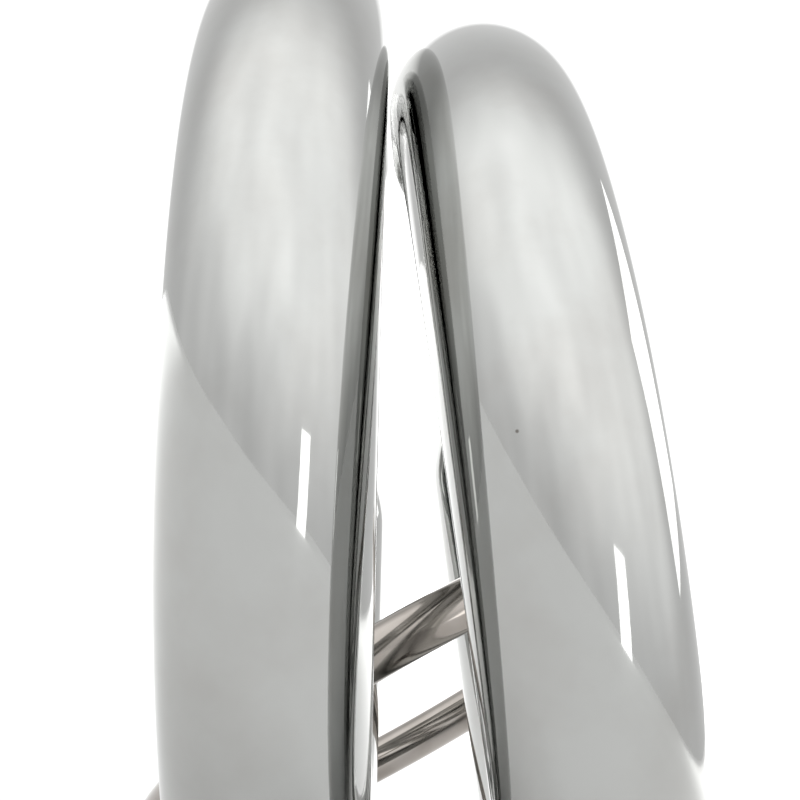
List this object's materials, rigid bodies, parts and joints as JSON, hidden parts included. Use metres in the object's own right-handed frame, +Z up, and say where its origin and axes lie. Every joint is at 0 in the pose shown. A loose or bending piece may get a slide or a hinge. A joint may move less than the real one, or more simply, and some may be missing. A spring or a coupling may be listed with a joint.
{
  "type": "metal ring disentanglement puzzle",
  "caption": "Polished thick metal rings standing side by side and leaning together, joined by a thin link ring, to be taken apart and put back as a puzzle.",
  "frame": {"origin": "on the table, under the middle of the box that holds all the rings", "axes": "+Z up, +Y away from the viewer, +X to the viewer's right, along the row of thick rings"},
  "size_m": [0.0396, 0.0658, 0.0579],
  "materials": {
    "polished_steel": "mirror-polished, neutral pale steel with faint handling marks",
    "polished_wire": "polished wire, slightly duller and warmer than the thick rings"
  },
  "bodies": {
    "left_ring": {"left_ring": "polished_steel"},
    "link_ring": {"link_ring": "polished_wire"},
    "right_ring": {"right_ring": "polished_steel"}
  },
  "joints": [
    {"name": "link_turn", "type": "hinge", "parent": "left_ring", "child": "link_ring", "pos_m": [-0.0091, -0.00221, 0.02894], "axis": [0.9732, 0, 0.23], "continuous": true},
    {"name": "right_ring_travel", "type": "hinge", "parent": "link_ring", "child": "right_ring", "pos_m": [0.00163, 0.01349, 0.01528], "axis": [-0.6794, 0.2954, 0.6717], "range_deg": [0, 50]}
  ]
}
